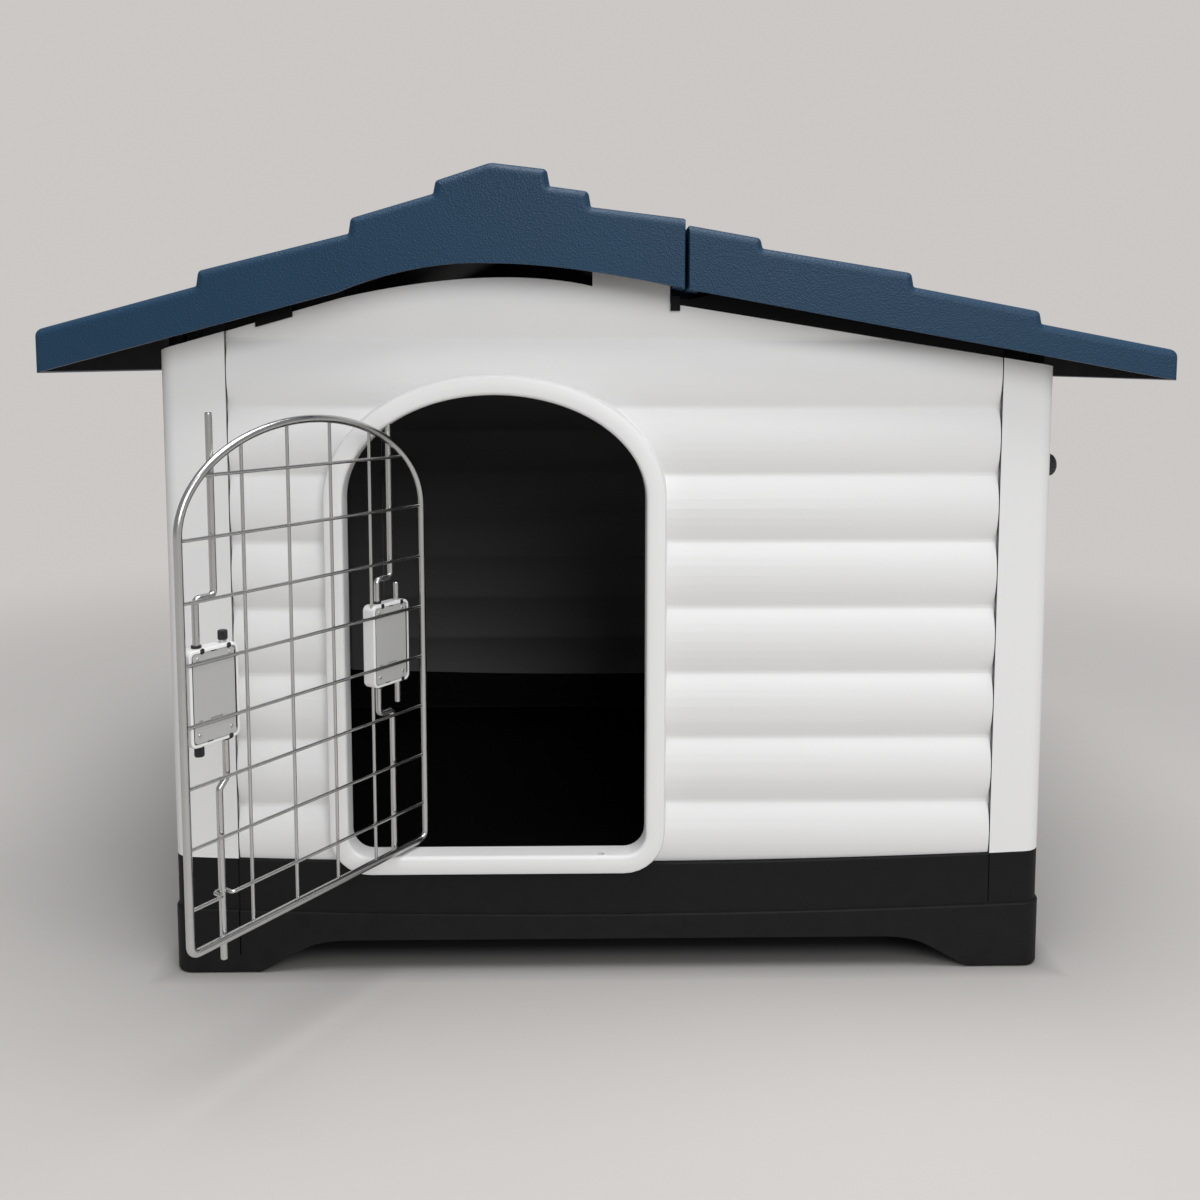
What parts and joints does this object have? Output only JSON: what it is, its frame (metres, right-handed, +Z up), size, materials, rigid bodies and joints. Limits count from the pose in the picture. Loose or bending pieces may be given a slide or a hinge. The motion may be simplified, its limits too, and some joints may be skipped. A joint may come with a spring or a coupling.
{
  "type": "dog house",
  "caption": "Plastic dog house with a log-pattern body on a footed base, a coursed gable roof with a lifting side hatch, and a wire door on sprung bolts.",
  "frame": {"origin": "centre of the footprint on the floor, with the door open as in the picture", "axes": "+X to the right along the roof's long way, +Y to the back, +Z up; the doorway faces -Y"},
  "size_m": [0.905, 0.81, 0.672],
  "materials": {
    "white_plastic": "satin moulded polypropylene, off-white",
    "black_plastic": "fine-grained moulded polypropylene, charcoal",
    "blue_plastic": "coarse-grained moulded polypropylene, slate blue",
    "grey_plastic": "smooth moulded plastic, light grey",
    "galvanised_wire": "drawn wire with a dull zinc coat",
    "spring_steel": "bright wire"
  },
  "bodies": {
    "house": {"base_tray": "black_plastic", "front_wall": "white_plastic", "back_wall": "white_plastic", "left_wall": "white_plastic", "roof_main": "blue_plastic", "front_left_rail": "black_plastic", "front_right_rail": "black_plastic", "back_left_rail": "black_plastic", "back_right_rail": "black_plastic", "front_roof_clip": "black_plastic", "back_roof_clip": "black_plastic", "front_hinge_pin": "spring_steel", "back_hinge_pin": "spring_steel"},
    "hatch": {"roof_flap": "blue_plastic", "right_wall": "white_plastic"},
    "front_turn_knob": {"front_knob": "black_plastic"},
    "back_turn_knob": {"back_knob": "black_plastic"},
    "door": {"door_frame": "galvanised_wire", "door_upright_1": "galvanised_wire", "door_upright_2": "galvanised_wire", "door_upright_3": "galvanised_wire", "door_upright_4": "galvanised_wire", "door_bar_1": "galvanised_wire", "door_bar_2": "galvanised_wire", "door_bar_3": "galvanised_wire", "door_bar_4": "galvanised_wire", "door_bar_5": "galvanised_wire", "door_bar_6": "galvanised_wire", "door_bar_7": "galvanised_wire", "door_bar_8": "galvanised_wire", "hinge_latch_case": "white_plastic", "hinge_latch_plate": "grey_plastic", "free_latch_case": "white_plastic", "free_latch_plate": "grey_plastic", "hinge_upper_spring": "spring_steel", "hinge_lower_spring": "spring_steel", "free_upper_spring": "spring_steel", "free_lower_spring": "spring_steel", "hinge_upper_bushing": "black_plastic", "hinge_lower_bushing": "black_plastic", "free_upper_bushing": "black_plastic", "free_lower_bushing": "black_plastic"},
    "bolt_hinge_upper": {"hinge_upper_bolt": "galvanised_wire"},
    "bolt_hinge_lower": {"hinge_lower_bolt": "galvanised_wire"},
    "bolt_free_upper": {"free_upper_bolt": "galvanised_wire", "free_upper_cap": "black_plastic"},
    "bolt_free_lower": {"free_lower_bolt": "galvanised_wire", "free_lower_cap": "black_plastic"}
  },
  "joints": [
    {"name": "door_hinge", "type": "hinge", "parent": "house", "child": "door", "pos_m": [-0.1812, -0.22902, 0.3], "axis": [0, 0, 1], "range_deg": [-25.5, 124.5]},
    {"name": "hatch_hinge", "type": "hinge", "parent": "house", "child": "hatch", "pos_m": [0.0595, 0, 0.628], "axis": [0, -1, 0], "range_deg": [0, 75]},
    {"name": "front_knob_turn", "type": "hinge", "parent": "hatch", "child": "front_turn_knob", "pos_m": [0.368, -0.20042, 0.43], "axis": [1, 0, 0], "range_deg": [0, 90]},
    {"name": "back_knob_turn", "type": "hinge", "parent": "hatch", "child": "back_turn_knob", "pos_m": [0.368, 0.35158, 0.43], "axis": [-1, 0, 0], "range_deg": [0, 90]},
    {"name": "hinge_upper_slide", "type": "slide", "parent": "door", "child": "bolt_hinge_upper", "axis": [0, 0, -1], "range_m": [0, 0.014], "stiffness_N_per_m": 120, "springref_m": -0.02, "deforming": ["hinge_upper_spring"]},
    {"name": "hinge_lower_slide", "type": "slide", "parent": "door", "child": "bolt_hinge_lower", "axis": [0, 0, 1], "range_m": [0, 0.013], "stiffness_N_per_m": 120, "springref_m": -0.02, "deforming": ["hinge_lower_spring"]},
    {"name": "free_upper_slide", "type": "slide", "parent": "door", "child": "bolt_free_upper", "axis": [0, 0, -1], "range_m": [0, 0.018], "stiffness_N_per_m": 120, "springref_m": -0.02, "deforming": ["free_upper_spring"]},
    {"name": "free_lower_slide", "type": "slide", "parent": "door", "child": "bolt_free_lower", "axis": [0, 0, 1], "range_m": [0, 0.013], "stiffness_N_per_m": 120, "springref_m": -0.02, "deforming": ["free_lower_spring"]}
  ]
}
